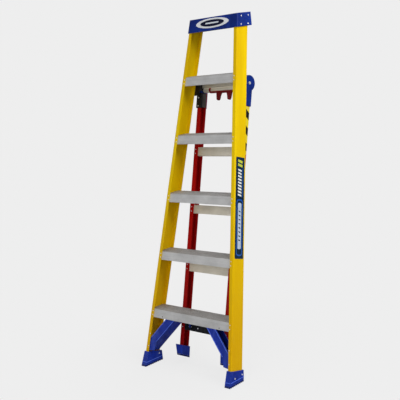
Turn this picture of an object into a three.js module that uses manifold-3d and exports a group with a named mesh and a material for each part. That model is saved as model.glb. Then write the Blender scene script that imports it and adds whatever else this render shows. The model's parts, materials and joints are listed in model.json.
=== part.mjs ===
// A six-foot glass-fibre step ladder, folded shut and leaning back at the angle that levels its treads.
// Millimetres, +Z up, +X to the right of someone who faces the treads, +Y away from them.
//
// Everything is drawn in the ladder's own frame, which leans: x across, y back from the front
// rails' front face, z up along the rails. The rear section has the same axes, from its hinge.

import * as THREE from "three";
import { mergeVertices } from "three/addons/utils/BufferGeometryUtils.js";
import { ConvexGeometry } from "three/addons/geometries/ConvexGeometry.js";
import Module from "manifold-3d";

const wasm = await Module();
wasm.setup();

// ---- driving dimensions -------------------------------------------------------------------------

const DEGREE = Math.PI / 180;
const GAP = 0.3; // between two pieces that touch

const LEAN = 16.9 * DEGREE; // the front rails' lean from upright
const OPEN_SWING = 29.3 * DEGREE; // how far the rear section swings to stand open
const REAR_TILT = 0.37 * DEGREE; // the shut rear section's angle to the front rails

const STEP_RISE = 304.8; // from tread to tread, straight up
const TREAD_COUNT = 5;
const TREAD_SPACING = STEP_RISE / Math.cos(LEAN);
const TREAD_LIP = 46; // height of the tread's front and rear lips
const TREAD_WALL = 2.2;
const TREAD_RIBS = 9;
const RIB_HEIGHT = 1.2;
const RIB_SHARE = 0.4; // a rib's width against the ribs' spacing

const FLOOR_HALF_WIDTH = 324.7; // outer face of a front rail at floor level
const TAPER = 0.081; // how fast the front rails close in, per unit of height
const TAPER_ANGLE = Math.atan(TAPER);
const RAIL_DEPTH = 85;
const RAIL_FLANGE = 22;
const RAIL_WALL = 3;
const RAIL_CORNER = 4; // radius of the rails' outer corners
const RAIL_FOOT = 44; // where the front rails end inside their boots
const RAIL_TOP = 1893;

const CAP_FRONT = -4.5; // the cap's front face
const CAP_TOP = 1908; // height of the cap's front top edge
const CAP_SKIRT = 73;
const CAP_BACK_TOP = 100;
const CAP_BACK_BOTTOM = 111.5;
const CAP_WALL = 4;
const CAP_CORNER = 8;
const CAP_OVERHANG = 5.5; // how far the cap's sides stand outside the rails
const BUMPER_SPAN = [92, 158]; // from x to x
const BUMPER_DROP = [8, 62]; // from the cap's back top edge, down its back
const BUMPER_REACH = 11;
const BUMPER_DRAFT = 3; // how far the bumper's sides draw in or out towards the wall

const BOOT_TOP = 80;
const BOOT_MARGIN = 5; // a boot's thickness round its rail
const BOOT_TOE = -13; // from the rails' front face, along the floor
const BOOT_HEEL_OUTER = 93;
const BOOT_HEEL_INNER = 110;
const SOLE_THICKNESS = 9;
const GROOVE_DEPTH = 5.5;
const GROOVE_HALF_WIDTH = 3;

const BRACE_UPPER = [101, 292]; // a knee brace's inner edge, from under the lowest tread
const BRACE_LOWER = [250, 133]; // to the bend above its toe
const BRACE_BACK = 76;
const BRACE_WALL = 3;
const BRACE_FRONT_FLANGE = 48;
const BRACE_BACK_FLANGE = 34;

const PIVOT_Y = 130.8;
const PIVOT_Z = 1565.7;
const PIVOT_RADIUS = 6;
const BOLT_RADIUS = 4;
const BOLT_DROP = 23; // the lock bolts and the cross tube are this far under the pivot
const TUBE_RADIUS = 14.5;
const TUBE_BORE = 12;
const EAR_INNER = 146; // inner face of a hinge hanger's ear
const EAR_THICKNESS = 3.5;
const HANGER_LOW = 1508; // foot and top of the hinge hangers
const HANGER_HIGH = 1612;
const HEAD_RADIUS = 42; // the round head of a hinge knuckle
const LEVER_REACH = 100; // half the release lever's width
const LEVER_WALL = 3.2;

const REAR_HALF_WIDTH = 175;
const REAR_FRONT = -23.3; // rear rails, from the pivot
const REAR_DEPTH = 43.4;
const REAR_FLANGE = 29;
const REAR_RAIL_TOP = -38.5;
const REAR_RAIL_FOOT = 13; // over the top of the sole
const KNUCKLE_WALL = 2.8;
const KNUCKLE_FOOT = -122;
const PLATE_WALL = 1.5; // the knuckles' steel plates
const REAR_BAR_HEIGHT = 47;
const REAR_BAR_FIRST = -340.7; // top of the highest rear bar
const REAR_BAR_SPACING = TREAD_SPACING + 0.45;
const REAR_BARS = 4;
const CHANNEL_WALL = 2.2; // wall of a rear bar

const rearLean = OPEN_SWING + REAR_TILT - LEAN; // the rear rails' lean once open
const pivotHeight = PIVOT_Z * Math.cos(LEAN) - PIVOT_Y * Math.sin(LEAN);
const rearSole = -pivotHeight / Math.cos(rearLean); // sole, straight below the pivot
const rearReach = -rearSole * Math.sin(rearLean); // how far behind the pivot the open feet stand

// ---- materials ----------------------------------------------------------------------------------

const material = (color, roughness, metalness = 0) =>
  new THREE.MeshStandardMaterial({ color, roughness, metalness });

const yellowFibreglass = material(0xeec800, 0.45);
const redFibreglass = material(0x8c0f0f, 0.45);
const bluePlastic = material(0x1b2f8f, 0.5);
const royalPlastic = material(0x22389f, 0.5);
const darkRubber = material(0x16224f, 0.85);
const aluminium = material(0xa5a5a5, 0.45, 0.9);
const zincSteel = material(0x8d9196, 0.4, 0.9);
const blackSteel = material(0x17161b, 0.45, 0.3);
const blackPlastic = material(0x141518, 0.55);
const redPlastic = material(0x8f1414, 0.5);

// ---- helpers ------------------------------------------------------------------------------------

function merged(geometry) {
  const bare = geometry.clone();
  bare.deleteAttribute("normal");
  bare.deleteAttribute("uv");
  return mergeVertices(bare, 1e-4);
}

function toSolid(geometry) {
  const { index, attributes } = merged(geometry);
  return new wasm.Manifold(
    new wasm.Mesh({
      numProp: 3,
      vertProperties: new Float32Array(attributes.position.array),
      triVerts: new Uint32Array(index.array),
    })
  );
}

function toGeometry(solid) {
  const mesh = solid.getMesh();
  const geometry = new THREE.BufferGeometry();
  geometry.setAttribute("position", new THREE.BufferAttribute(mesh.vertProperties, 3));
  geometry.setIndex(new THREE.BufferAttribute(mesh.triVerts, 1));
  return geometry;
}

const joined = (first, ...others) =>
  toGeometry(others.reduce((sum, other) => sum.add(toSolid(other)), toSolid(first)));
const cut = (first, ...others) =>
  toGeometry(others.reduce((rest, other) => rest.subtract(toSolid(other)), toSolid(first)));
const common = (first, ...others) =>
  toGeometry(others.reduce((both, other) => both.intersect(toSolid(other)), toSolid(first)));

// the left-hand copy of a right-hand piece
function mirrored(geometry) {
  const copy = merged(geometry).applyMatrix4(new THREE.Matrix4().makeScale(-1, 1, 1));
  const { array } = copy.index;
  for (let i = 0; i < array.length; i += 3) {
    [array[i], array[i + 1]] = [array[i + 1], array[i]];
  }
  return copy;
}

const outline = (points) => new THREE.Shape(points.map(([x, y]) => new THREE.Vector2(x, y)));

const extruded = (shape, depth, curveSegments = 6) =>
  new THREE.ExtrudeGeometry(shape, { depth, bevelEnabled: false, curveSegments });

// an outline in (x, y), raised from z0 to z1
const alongZ = (shape, z0, z1, segments) => extruded(shape, z1 - z0, segments).translate(0, 0, z0);

// an outline in (y, z), pulled from x0 to x1
function alongX(shape, x0, x1, segments) {
  const turn = new THREE.Matrix4().makeBasis(
    new THREE.Vector3(0, 1, 0),
    new THREE.Vector3(0, 0, 1),
    new THREE.Vector3(1, 0, 0)
  );
  return extruded(shape, x1 - x0, segments).applyMatrix4(turn).translate(x0, 0, 0);
}

// an outline in (x, z), pulled from y0 to y1
function alongY(shape, y0, y1, segments) {
  const turn = new THREE.Matrix4().makeBasis(
    new THREE.Vector3(1, 0, 0),
    new THREE.Vector3(0, 0, 1),
    new THREE.Vector3(0, -1, 0)
  );
  return extruded(shape, y1 - y0, segments).applyMatrix4(turn).translate(0, y1, 0);
}

function block(x0, x1, y0, y1, z0, z1) {
  const box = new THREE.BoxGeometry(x1 - x0, y1 - y0, z1 - z0);
  return box.translate((x0 + x1) / 2, (y0 + y1) / 2, (z0 + z1) / 2);
}

// a round bar along x
function bar(radius, x0, x1, y, z, sides = 24) {
  const cylinder = new THREE.CylinderGeometry(radius, radius, x1 - x0, sides);
  return cylinder.rotateZ(-Math.PI / 2).translate((x0 + x1) / 2, y, z);
}

// a round bar along x whose radius steps, from [x, radius] pairs
function turned(steps, y, z, sides = 24) {
  const first = steps[0][0];
  const last = steps[steps.length - 1][0];
  const profile = [[0, first], ...steps.map(([x, r]) => [r, x]), [0, last]];
  const points = profile.map(([r, x]) => new THREE.Vector2(r, x));
  return new THREE.LatheGeometry(points, sides).rotateZ(-Math.PI / 2).translate(0, y, z);
}

const hull = (points) => new ConvexGeometry(points.map((p) => new THREE.Vector3(...p)));

// outer face of a front rail at height z
const halfWidth = (z) => FLOOR_HALF_WIDTH - TAPER * z;

// a point given level with the floor, y back and z up from the ladder's frame origin
const fromLevel = (x, y, z) => [
  x,
  y * Math.cos(LEAN) - z * Math.sin(LEAN),
  y * Math.sin(LEAN) + z * Math.cos(LEAN),
];

// ---- channel rails ------------------------------------------------------------------------------

// A channel seen from above, open towards -x: web's outer face at x = 0, front face at y = 0.
function channelSection(depth, flange, wall, corner) {
  const section = new THREE.Shape();
  section.moveTo(-flange, 0);
  section.lineTo(-corner, 0);
  section.absarc(-corner, corner, corner, -Math.PI / 2, 0, false);
  section.lineTo(0, depth - corner);
  section.absarc(-corner, depth - corner, corner, 0, Math.PI / 2, false);
  section.lineTo(-flange, depth);
  section.lineTo(-flange, depth - wall);
  section.lineTo(-wall, depth - wall);
  section.lineTo(-wall, wall);
  section.lineTo(-flange, wall);
  section.closePath();
  return section;
}

function frontRail() {
  const section = channelSection(RAIL_DEPTH, RAIL_FLANGE, RAIL_WALL, RAIL_CORNER);
  return alongZ(section, RAIL_FOOT, RAIL_TOP, 4);
}

function rearRail() {
  const section = channelSection(REAR_DEPTH, REAR_FLANGE, RAIL_WALL, RAIL_CORNER);
  const foot = rearSole + SOLE_THICKNESS + REAR_RAIL_FOOT;
  return alongZ(section, foot, REAR_RAIL_TOP, 4).translate(REAR_HALF_WIDTH, REAR_FRONT, 0);
}

// ---- treads -------------------------------------------------------------------------------------

// A tread's section, from its front top edge: a ribbed top, level with the floor, and two lips
// that lie against the rails' flanges.
function treadSection(depth) {
  const slope = Math.tan(LEAN);
  const along = (t) => [t, t * slope];
  const raised = (t) => [t - RIB_HEIGHT * Math.sin(LEAN), t * slope + RIB_HEIGHT * Math.cos(LEAN)];
  const points = [[0, -TREAD_LIP], along(0)];
  const pitch = depth / (TREAD_RIBS + 1);
  const ribWidth = pitch * RIB_SHARE;
  for (let rib = 1; rib <= TREAD_RIBS; rib += 1) {
    const start = rib * pitch - ribWidth / 2;
    const end = start + ribWidth;
    points.push(along(start), raised(start), raised(end), along(end));
  }
  const back = depth * slope;
  const inner = depth - TREAD_WALL;
  points.push(along(depth), [depth, back - TREAD_LIP], [inner, back - TREAD_LIP]);
  points.push([inner, inner * slope - TREAD_WALL], [TREAD_WALL, TREAD_WALL * slope - TREAD_WALL]);
  points.push([TREAD_WALL, -TREAD_LIP]);
  return outline(points.reverse());
}

// The ends are trimmed to the slanting webs of the rails.
function tread(height) {
  const front = RAIL_WALL + GAP;
  const depth = RAIL_DEPTH - 2 * front;
  const geometry = alongX(treadSection(depth), -1, 1).translate(0, front, 0);
  const { position } = geometry.attributes;
  for (let i = 0; i < position.count; i += 1) {
    const reach = halfWidth(height + position.getZ(i)) - RAIL_WALL - 2 * GAP;
    position.setX(i, Math.sign(position.getX(i)) * reach);
  }
  return geometry;
}

// ---- top cap ------------------------------------------------------------------------------------

// The cap's body, shrunk by an inset on every side.
function capBody(inset, roof, floorDrop) {
  const slope = Math.tan(LEAN);
  const front = CAP_FRONT + inset;
  const topFront = CAP_TOP + inset * slope - roof;
  const backTop = CAP_BACK_TOP - inset;
  const backBottom = CAP_BACK_BOTTOM - inset;
  const bottomFront = CAP_TOP - CAP_SKIRT - floorDrop;
  const side = outline([
    [front, bottomFront],
    [backBottom, bottomFront + (backBottom - front) * slope],
    [backTop, topFront + (backTop - front) * slope],
    [front, topFront],
  ]);
  const corner = CAP_CORNER - inset;
  const reach = halfWidth(CAP_TOP) + CAP_OVERHANG - inset;
  const plan = new THREE.Shape();
  plan.moveTo(-reach, CAP_BACK_BOTTOM + 10);
  plan.lineTo(-reach, front + corner);
  plan.absarc(-reach + corner, front + corner, corner, Math.PI, 1.5 * Math.PI, false);
  plan.absarc(reach - corner, front + corner, corner, 1.5 * Math.PI, 2 * Math.PI, false);
  plan.lineTo(reach, CAP_BACK_BOTTOM + 10);
  plan.closePath();
  const column = alongZ(plan, CAP_TOP - 120, CAP_TOP + 60, 5);
  const { position } = column.attributes;
  for (let i = 0; i < position.count; i += 1) {
    const widening = 1 + (TAPER * 1.15 * (CAP_TOP - position.getZ(i))) / reach;
    position.setX(i, position.getX(i) * widening);
  }
  return common(alongX(side, -300, 300), column);
}

// Shapes on the cap's top are drawn level with the floor, from its front top edge.
function onCapTop(geometry) {
  return geometry.rotateX(LEAN).translate(0, CAP_FRONT, CAP_TOP);
}

function cap() {
  const shell = cut(capBody(0, 0, 0), capBody(CAP_WALL, 5, 20));
  const trayBasin = onCapTop(block(-80, 80, 26, 90, -16, -2));
  const tray = onCapTop(block(-77, 77, 29, 87, -13, 5));
  const hammerSlot = onCapTop(block(96, 138, 36, 80, -40, 5));
  const toolHoles = [-104, -132].map((x) =>
    onCapTop(new THREE.CylinderGeometry(9, 9, 60, 20).rotateX(Math.PI / 2).translate(x, 58, -20))
  );
  return cut(joined(shell, trayBasin), tray, hammerSlot, ...toolHoles);
}

// A rubber block on the cap's back, with an upright face to lean on a wall.
function wallBumper() {
  const slope = Math.tan(LEAN);
  const rise = CAP_TOP + (CAP_BACK_TOP - CAP_FRONT) * slope;
  const backReach = CAP_BACK_BOTTOM - CAP_BACK_TOP;
  const run = backReach / (CAP_SKIRT - backReach * slope);
  const [top] = BUMPER_DROP;
  const onBack = (x, down) => [x, CAP_BACK_TOP + run * down + 2 * GAP, rise - down];
  const [, topY, topZ] = onBack(0, top);
  const wallFace = topZ * Math.sin(LEAN) + topY * Math.cos(LEAN) + BUMPER_REACH;
  const corners = [];
  for (const x of BUMPER_SPAN) {
    const inset = x === BUMPER_SPAN[0] ? BUMPER_DRAFT : -BUMPER_DRAFT;
    for (const down of BUMPER_DROP) {
      const near = onBack(x, down);
      const level = near[2] * Math.cos(LEAN) - near[1] * Math.sin(LEAN);
      const drawnIn = down === top ? -BUMPER_DRAFT : BUMPER_DRAFT;
      corners.push(near, fromLevel(x + inset, wallFace, level + drawnIn));
    }
  }
  return hull(corners);
}

// ---- front boots --------------------------------------------------------------------------------

// The boot is lofted from a snug collar to a wider foot, and cut level with the floor.
function bootHull() {
  const collarFront = -BOOT_MARGIN;
  const collarBack = RAIL_DEPTH + BOOT_MARGIN;
  const outer = halfWidth(BOOT_TOP) + 4;
  const inner = halfWidth(BOOT_TOP) - RAIL_FLANGE - BOOT_MARGIN;
  const top = [
    [outer, collarFront, BOOT_TOP - 1],
    [inner, collarFront, BOOT_TOP - 1],
    [outer, collarBack, BOOT_TOP + 3],
    [inner, collarBack + 8, BOOT_TOP + 3],
  ];
  const footOuter = FLOOR_HALF_WIDTH + BOOT_MARGIN;
  const toeInner = FLOOR_HALF_WIDTH - 33;
  const heelInner = FLOOR_HALF_WIDTH - 41;
  const heelHeight = 12;
  const foot = [
    fromLevel(footOuter, BOOT_TOE, 0),
    fromLevel(toeInner, BOOT_TOE, 0),
    fromLevel(footOuter, BOOT_HEEL_OUTER, 0),
    fromLevel(heelInner, BOOT_HEEL_INNER, 0),
    fromLevel(footOuter, BOOT_HEEL_OUTER, heelHeight),
    fromLevel(heelInner, BOOT_HEEL_INNER, heelHeight),
  ];
  return hull([...top, ...foot]);
}

// A slab level with the floor, in the ladder's frame.
function levelSlab(z0, z1) {
  return block(-500, 500, -300, 500, z0, z1).rotateX(LEAN);
}

function frontBoot() {
  const socket = block(-RAIL_FLANGE - GAP, GAP, -GAP, RAIL_DEPTH + GAP, RAIL_FOOT - GAP, BOOT_TOP + 40)
    .rotateY(-TAPER_ANGLE)
    .translate(FLOOR_HALF_WIDTH, 0, 0);
  return cut(bootHull(), levelSlab(-100, SOLE_THICKNESS + GAP / 2), socket);
}

// The sole's grooves run across the foot.
function grooves(firstY, lastY, pitch) {
  const teeth = [];
  const wide = GROOVE_HALF_WIDTH;
  const narrow = GROOVE_HALF_WIDTH - 1;
  for (let y = firstY; y < lastY; y += pitch) {
    const wedge = outline([
      [y - wide, -1],
      [y + wide, -1],
      [y + narrow, GROOVE_DEPTH],
      [y - narrow, GROOVE_DEPTH],
    ]);
    teeth.push(alongX(wedge, -500, 500));
  }
  return teeth;
}

function frontSole() {
  const slab = common(bootHull(), levelSlab(-50, SOLE_THICKNESS - GAP / 2));
  return cut(slab, ...grooves(-6.5, 105, 13).map((groove) => groove.rotateX(LEAN)));
}

// ---- knee braces --------------------------------------------------------------------------------

// A channel from under the lowest tread to the foot of the rail, open towards the corner.
function kneeBrace() {
  const [upperX, upperZ] = BRACE_UPPER;
  const [lowerX, lowerZ] = BRACE_LOWER;
  const angle = Math.atan2(lowerZ - upperZ, lowerX - upperX);
  const front = RAIL_WALL + TREAD_WALL + 2 * GAP;
  const inFront = front + BRACE_WALL;
  const inBack = BRACE_BACK - BRACE_WALL;
  const section = outline([
    [front, 0],
    [BRACE_BACK, 0],
    [BRACE_BACK, BRACE_BACK_FLANGE],
    [inBack, BRACE_BACK_FLANGE],
    [inBack, BRACE_WALL],
    [inFront, BRACE_WALL],
    [inFront, BRACE_FRONT_FLANGE],
    [front, BRACE_FRONT_FLANGE],
  ]);
  const channel = alongX(section, -60, 330).rotateY(-angle).translate(upperX, 0, upperZ);
  const inside = (z) => halfWidth(z) - RAIL_WALL - 2 * GAP;
  const foot = BOOT_TOP + 5;
  const heel = foot + 6;
  const clip = outline([
    [200, heel],
    [262, heel],
    [inside(foot), foot],
    [inside(upperZ), upperZ],
    [40, upperZ],
  ]);
  const toe = outline([
    [lowerX - 6, lowerZ + 6],
    [258, heel],
    [inside(foot) - 4, foot],
    [inside(150) - 6, 150],
  ]);
  return joined(common(channel, alongY(clip, 0, 90)), alongY(toe, front, inFront));
}

// ---- hinge --------------------------------------------------------------------------------------

// A plate behind the front rail's rear flange, folded back into an ear that holds the pivot.
function hingeHanger() {
  const plateBack = RAIL_DEPTH + GAP + EAR_THICKNESS;
  const leg = outline([
    [EAR_INNER, HANGER_LOW],
    [halfWidth(HANGER_LOW) - 5, HANGER_LOW],
    [halfWidth(HANGER_HIGH) - 5, HANGER_HIGH],
    [EAR_INNER, HANGER_HIGH],
  ]);
  const plate = alongY(leg, RAIL_DEPTH + GAP, plateBack);
  const ear = outline([
    [RAIL_DEPTH + GAP, HANGER_LOW + 20],
    [plateBack + 8, HANGER_LOW + 30],
    [PIVOT_Y - 12, PIVOT_Z - 28],
    [PIVOT_Y, PIVOT_Z + 12],
    [PIVOT_Y - 12, PIVOT_Z + 26],
    [plateBack + 4, HANGER_HIGH],
    [RAIL_DEPTH + GAP, HANGER_HIGH],
  ]);
  const side = EAR_INNER + EAR_THICKNESS;
  const disc = bar(31, EAR_INNER, side, PIVOT_Y, PIVOT_Z - 5, 40);
  const pivotHole = bar(PIVOT_RADIUS + 0.3, 100, 200, PIVOT_Y, PIVOT_Z);
  const boltHole = bar(BOLT_RADIUS + 0.4, 100, 200, PIVOT_Y, PIVOT_Z - BOLT_DROP, 20);
  return cut(joined(plate, alongX(ear, EAR_INNER, side), disc), pivotHole, boltHole);
}

function pivotPin() {
  const steps = [
    [EAR_INNER - GAP - 2.4, 7],
    [EAR_INNER - GAP, 7.4],
    [EAR_INNER - GAP, PIVOT_RADIUS],
    [REAR_HALF_WIDTH + GAP + KNUCKLE_WALL + GAP, PIVOT_RADIUS],
    [REAR_HALF_WIDTH + GAP + KNUCKLE_WALL + GAP, 9],
    [REAR_HALF_WIDTH + 6.6, 7],
  ];
  return turned(steps, PIVOT_Y, PIVOT_Z);
}

// The tube that ties both hangers together has a slot under each lock bolt's peg.
function crossTube() {
  const z = PIVOT_Z - BOLT_DROP;
  const end = EAR_INNER - GAP;
  const slots = [1, -1].map((hand) => {
    const reach = [hand * 63, hand * 88].sort((a, b) => a - b);
    return block(reach[0], reach[1], PIVOT_Y - 3, PIVOT_Y + 3, z - 20, z);
  });
  const outside = bar(TUBE_RADIUS, -end, end, PIVOT_Y, z, 32);
  return cut(outside, bar(TUBE_BORE, -200, 200, PIVOT_Y, z, 32), ...slots);
}

// An angle between the hangers' ears, over and in front of the cross tube.
function hingeBridge() {
  const back = PIVOT_Y - 20.8;
  const wall = 2;
  const foot = PIVOT_Z - 14.7;
  const top = PIVOT_Z + 34.3;
  const section = outline([
    [back - wall, foot],
    [back, foot],
    [back, top],
    [back - 13, top],
    [back - 13, top - wall],
    [back - wall, top - wall],
  ]);
  return alongX(section, GAP - EAR_INNER, EAR_INNER - GAP);
}

// A bolt that slides in the cross tube and locks a knuckle.
function lockBolt() {
  const z = PIVOT_Z - BOLT_DROP;
  const steps = [
    [80, TUBE_BORE - 0.4],
    [91, TUBE_BORE - 0.4],
    [91, BOLT_RADIUS],
    [157, BOLT_RADIUS],
    [158.5, BOLT_RADIUS - 1.5],
  ];
  const peg = new THREE.CylinderGeometry(2.4, 2.4, 9, 16).rotateX(Math.PI / 2);
  return joined(turned(steps, PIVOT_Y, z), peg.translate(84.5, PIVOT_Y, z - TUBE_RADIUS + 4.7));
}

// A trough that turns on the cross tube, with two fingers to pull.
function releaseLever() {
  const z = PIVOT_Z - BOLT_DROP;
  const inner = TUBE_RADIUS + 0.4;
  const outer = inner + LEVER_WALL;
  const end = LEVER_REACH;
  const collar = LEVER_REACH - 10;
  const bore = bar(inner, -200, 200, PIVOT_Y, z, 32);
  const sleeve = cut(bar(outer, -end, end, PIVOT_Y, z, 32), bore);
  const slab = (x0, x1, top) => block(x0, x1, PIVOT_Y - 30, PIVOT_Y + 30, z - 30, z + top);
  const wanted = [slab(-end, end, -10), slab(collar, end + 1, 30), slab(-end - 1, -collar, 30)];
  const finger = new THREE.Shape();
  finger.moveTo(56, -12);
  finger.lineTo(50, -50);
  finger.quadraticCurveTo(49, -59, 40, -59);
  finger.quadraticCurveTo(31, -59, 29, -50);
  finger.quadraticCurveTo(26, -24, 17, -18);
  finger.lineTo(17, -12);
  finger.closePath();
  const right = alongY(finger, PIVOT_Y - 4, PIVOT_Y + 7, 4).translate(0, 0, z);
  const pulls = joined(right, mirrored(right), block(-18, 18, PIVOT_Y - 4, PIVOT_Y + 7, z - 19, z - 12));
  return joined(common(sleeve, joined(...wanted)), cut(pulls, bore));
}

// The curved track that a lock bolt runs in, from shut to open. Its ends stop the swing.
function boltTrack() {
  const shut = -Math.PI / 2 - REAR_TILT;
  const open = shut - OPEN_SWING;
  const half = BOLT_RADIUS + 0.5;
  const at = (angle) => [BOLT_DROP * Math.cos(angle), BOLT_DROP * Math.sin(angle)];
  const track = new THREE.Shape();
  track.absarc(0, 0, BOLT_DROP + half, shut, open, true);
  track.absarc(...at(open), half, open, open - Math.PI, true);
  track.absarc(0, 0, BOLT_DROP - half, open, shut, false);
  track.absarc(...at(shut), half, shut + Math.PI, shut, true);
  return track;
}

// A knuckle's moulding wraps the top of a rear rail and turns on the pivot.
function hingeKnuckle() {
  const outer = REAR_HALF_WIDTH + GAP + KNUCKLE_WALL;
  const front = REAR_FRONT - GAP - KNUCKLE_WALL;
  const back = REAR_FRONT + REAR_DEPTH + GAP + KNUCKLE_WALL;
  const inner = REAR_HALF_WIDTH - REAR_FLANGE;
  const sleeve = block(inner, outer, front, back, KNUCKLE_FOOT, REAR_RAIL_TOP + 4);
  const rail = block(
    inner - 5,
    REAR_HALF_WIDTH + GAP,
    REAR_FRONT - GAP,
    REAR_FRONT + REAR_DEPTH + GAP,
    KNUCKLE_FOOT - 5,
    REAR_RAIL_TOP + GAP
  );
  const face = EAR_INNER + EAR_THICKNESS + 0.6;
  const neck = block(face, outer, front, back, REAR_RAIL_TOP + GAP, 0);
  const head = bar(HEAD_RADIUS, face, outer, 0, 0, 48);
  const track = alongX(boltTrack(), face - 5, face + 11, 8);
  const ear = bar(HEAD_RADIUS, inner - 5, face, 0, 0, 48);
  const pivotHole = bar(PIVOT_RADIUS + 0.3, 100, 200, 0, 0);
  return cut(joined(cut(sleeve, ear), head, neck), rail, pivotHole, track);
}

// A steel plate over the knuckle's front, folded back along its inner edge, that takes its rivets.
function knucklePlate() {
  const inner = REAR_HALF_WIDTH - REAR_FLANGE;
  const outer = REAR_HALF_WIDTH + GAP + KNUCKLE_WALL;
  const back = REAR_FRONT - 2 * GAP - KNUCKLE_WALL;
  const front = back - PLATE_WALL;
  const side = inner - GAP;
  const section = outline([
    [outer, front],
    [outer, back],
    [side, back],
    [side, back + 10],
    [side - PLATE_WALL, back + 10],
    [side - PLATE_WALL, front],
  ]);
  return alongZ(section, KNUCKLE_FOOT, REAR_RAIL_TOP - 1.5);
}

// A folded steel plate that closes the open side of a rear rail under the hinge. Its two legs lie
// along the rail's flanges.
function railTopPlate() {
  const inner = REAR_HALF_WIDTH - REAR_FLANGE + GAP;
  const front = REAR_FRONT + RAIL_WALL + GAP;
  const back = REAR_FRONT + REAR_DEPTH - RAIL_WALL - GAP;
  const outside = block(inner, inner + 20, front, back, -116, REAR_RAIL_TOP - 3);
  const wall = PLATE_WALL + 1;
  return cut(outside, block(inner + wall, inner + 30, front + wall, back - wall, -200, 0));
}

// ---- rear section -------------------------------------------------------------------------------

// A channel bar with its web to the front, between the rear rails.
function rearBar() {
  const front = REAR_FRONT + RAIL_WALL + GAP;
  const back = REAR_FRONT + REAR_DEPTH - RAIL_WALL - GAP;
  const foot = -REAR_BAR_HEIGHT;
  const inFront = front + CHANNEL_WALL;
  const section = outline([
    [front, 0],
    [front, foot],
    [back, foot],
    [back, foot + CHANNEL_WALL],
    [inFront, foot + CHANNEL_WALL],
    [inFront, -CHANNEL_WALL],
    [back, -CHANNEL_WALL],
    [back, 0],
  ]);
  const reach = REAR_HALF_WIDTH - RAIL_WALL - GAP;
  return alongX(section, -reach, reach);
}

function rearBootHull() {
  const inner = REAR_HALF_WIDTH - REAR_FLANGE - 4;
  const outer = REAR_HALF_WIDTH + 9;
  const top = rearSole + 67;
  const slope = -Math.tan(rearLean);
  const foot = (x, y) => [x, y, rearSole + y * slope];
  return hull([
    [inner, -35, top - 2],
    [outer + 9, -35, top - 2],
    [outer + 3, 27, top - 12],
    [inner, 27, top - 12],
    foot(inner + 1, -31),
    foot(outer - 4, -31),
    foot(outer - 4, 30),
    foot(inner + 1, 30),
  ]);
}

// A slab level with the floor once the rear section stands open.
function rearLevelSlab(z0, z1) {
  const slab = block(-500, 500, rearReach - 200, rearReach + 200, z0, z1);
  return slab.translate(0, 0, -pivotHeight).rotateX(-rearLean);
}

function rearBoot() {
  const socket = block(
    REAR_HALF_WIDTH - REAR_FLANGE - GAP,
    REAR_HALF_WIDTH + GAP,
    REAR_FRONT - GAP,
    REAR_FRONT + REAR_DEPTH + GAP,
    rearSole + SOLE_THICKNESS + REAR_RAIL_FOOT - 0.5,
    rearSole + 100
  );
  return cut(rearBootHull(), rearLevelSlab(-60, SOLE_THICKNESS + GAP / 2), socket);
}

function rearSolePad() {
  const slab = common(rearBootHull(), rearLevelSlab(-60, SOLE_THICKNESS - GAP / 2));
  const teeth = grooves(-24, 30, 12).map((groove) =>
    groove.translate(0, rearReach, -pivotHeight).rotateX(-rearLean)
  );
  return cut(slab, ...teeth);
}

const lastBarTop = REAR_BAR_FIRST - (REAR_BARS - 1) * REAR_BAR_SPACING;
const catchPinY = REAR_FRONT - 10;
const catchPinZ = lastBarTop - 26;
const CATCH_X = -92; // middle of the catch
const CATCH_DROP = 20 * DEGREE; // the catch hangs this far below its holding position

// A black moulding on the lowest rear bar, with two lugs for the catch.
function catchPlate() {
  const front = REAR_FRONT - 1.4;
  const back = REAR_FRONT + RAIL_WALL;
  const reach = REAR_HALF_WIDTH - REAR_FLANGE - 3;
  const plate = block(-reach, reach, front, back, lastBarTop - 49, lastBarTop - 1);
  const lugs = [CATCH_X - 8.2, CATCH_X + 4.9].map((x) =>
    block(x, x + 3.3, catchPinY - 5, front + 1, catchPinZ - 6, catchPinZ + 6)
  );
  return cut(joined(plate, ...lugs), bar(2.7, CATCH_X - 9, CATCH_X + 9, catchPinY, catchPinZ, 16));
}

function catchPin() {
  const reach = 8.6;
  return bar(2.4, CATCH_X - reach, CATCH_X + reach, catchPinY, catchPinZ, 16);
}

// A hook, drawn upright from its pin. Raised, it holds the lowest tread's rear lip and keeps the
// ladder shut.
function transportCatch() {
  const arm = 52;
  const nose = 63;
  const lipFront = -26.6;
  const hook = outline([
    [-5, -6],
    [5, -6],
    [5, arm - 3],
    [2, arm],
    [lipFront, arm],
    [lipFront, nose],
    [lipFront - 4, nose],
    [lipFront - 7, nose - 5],
    [lipFront - 7, arm - 9],
    [-5, arm - 9],
  ]);
  return cut(alongX(hook, -4.6, 4.6), bar(2.7, -9, 9, 0, 0, 16));
}

// ---- assembly -----------------------------------------------------------------------------------

function add(parent, name, geometry, look) {
  const mesh = new THREE.Mesh(geometry, look);
  mesh.name = name;
  parent.add(mesh);
  return mesh;
}

function addPair(parent, name, geometry, look) {
  return [
    add(parent, `${name}_right`, geometry, look),
    add(parent, `${name}_left`, mirrored(geometry), look),
  ];
}

const front = new THREE.Group();
front.rotation.x = -LEAN;

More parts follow.
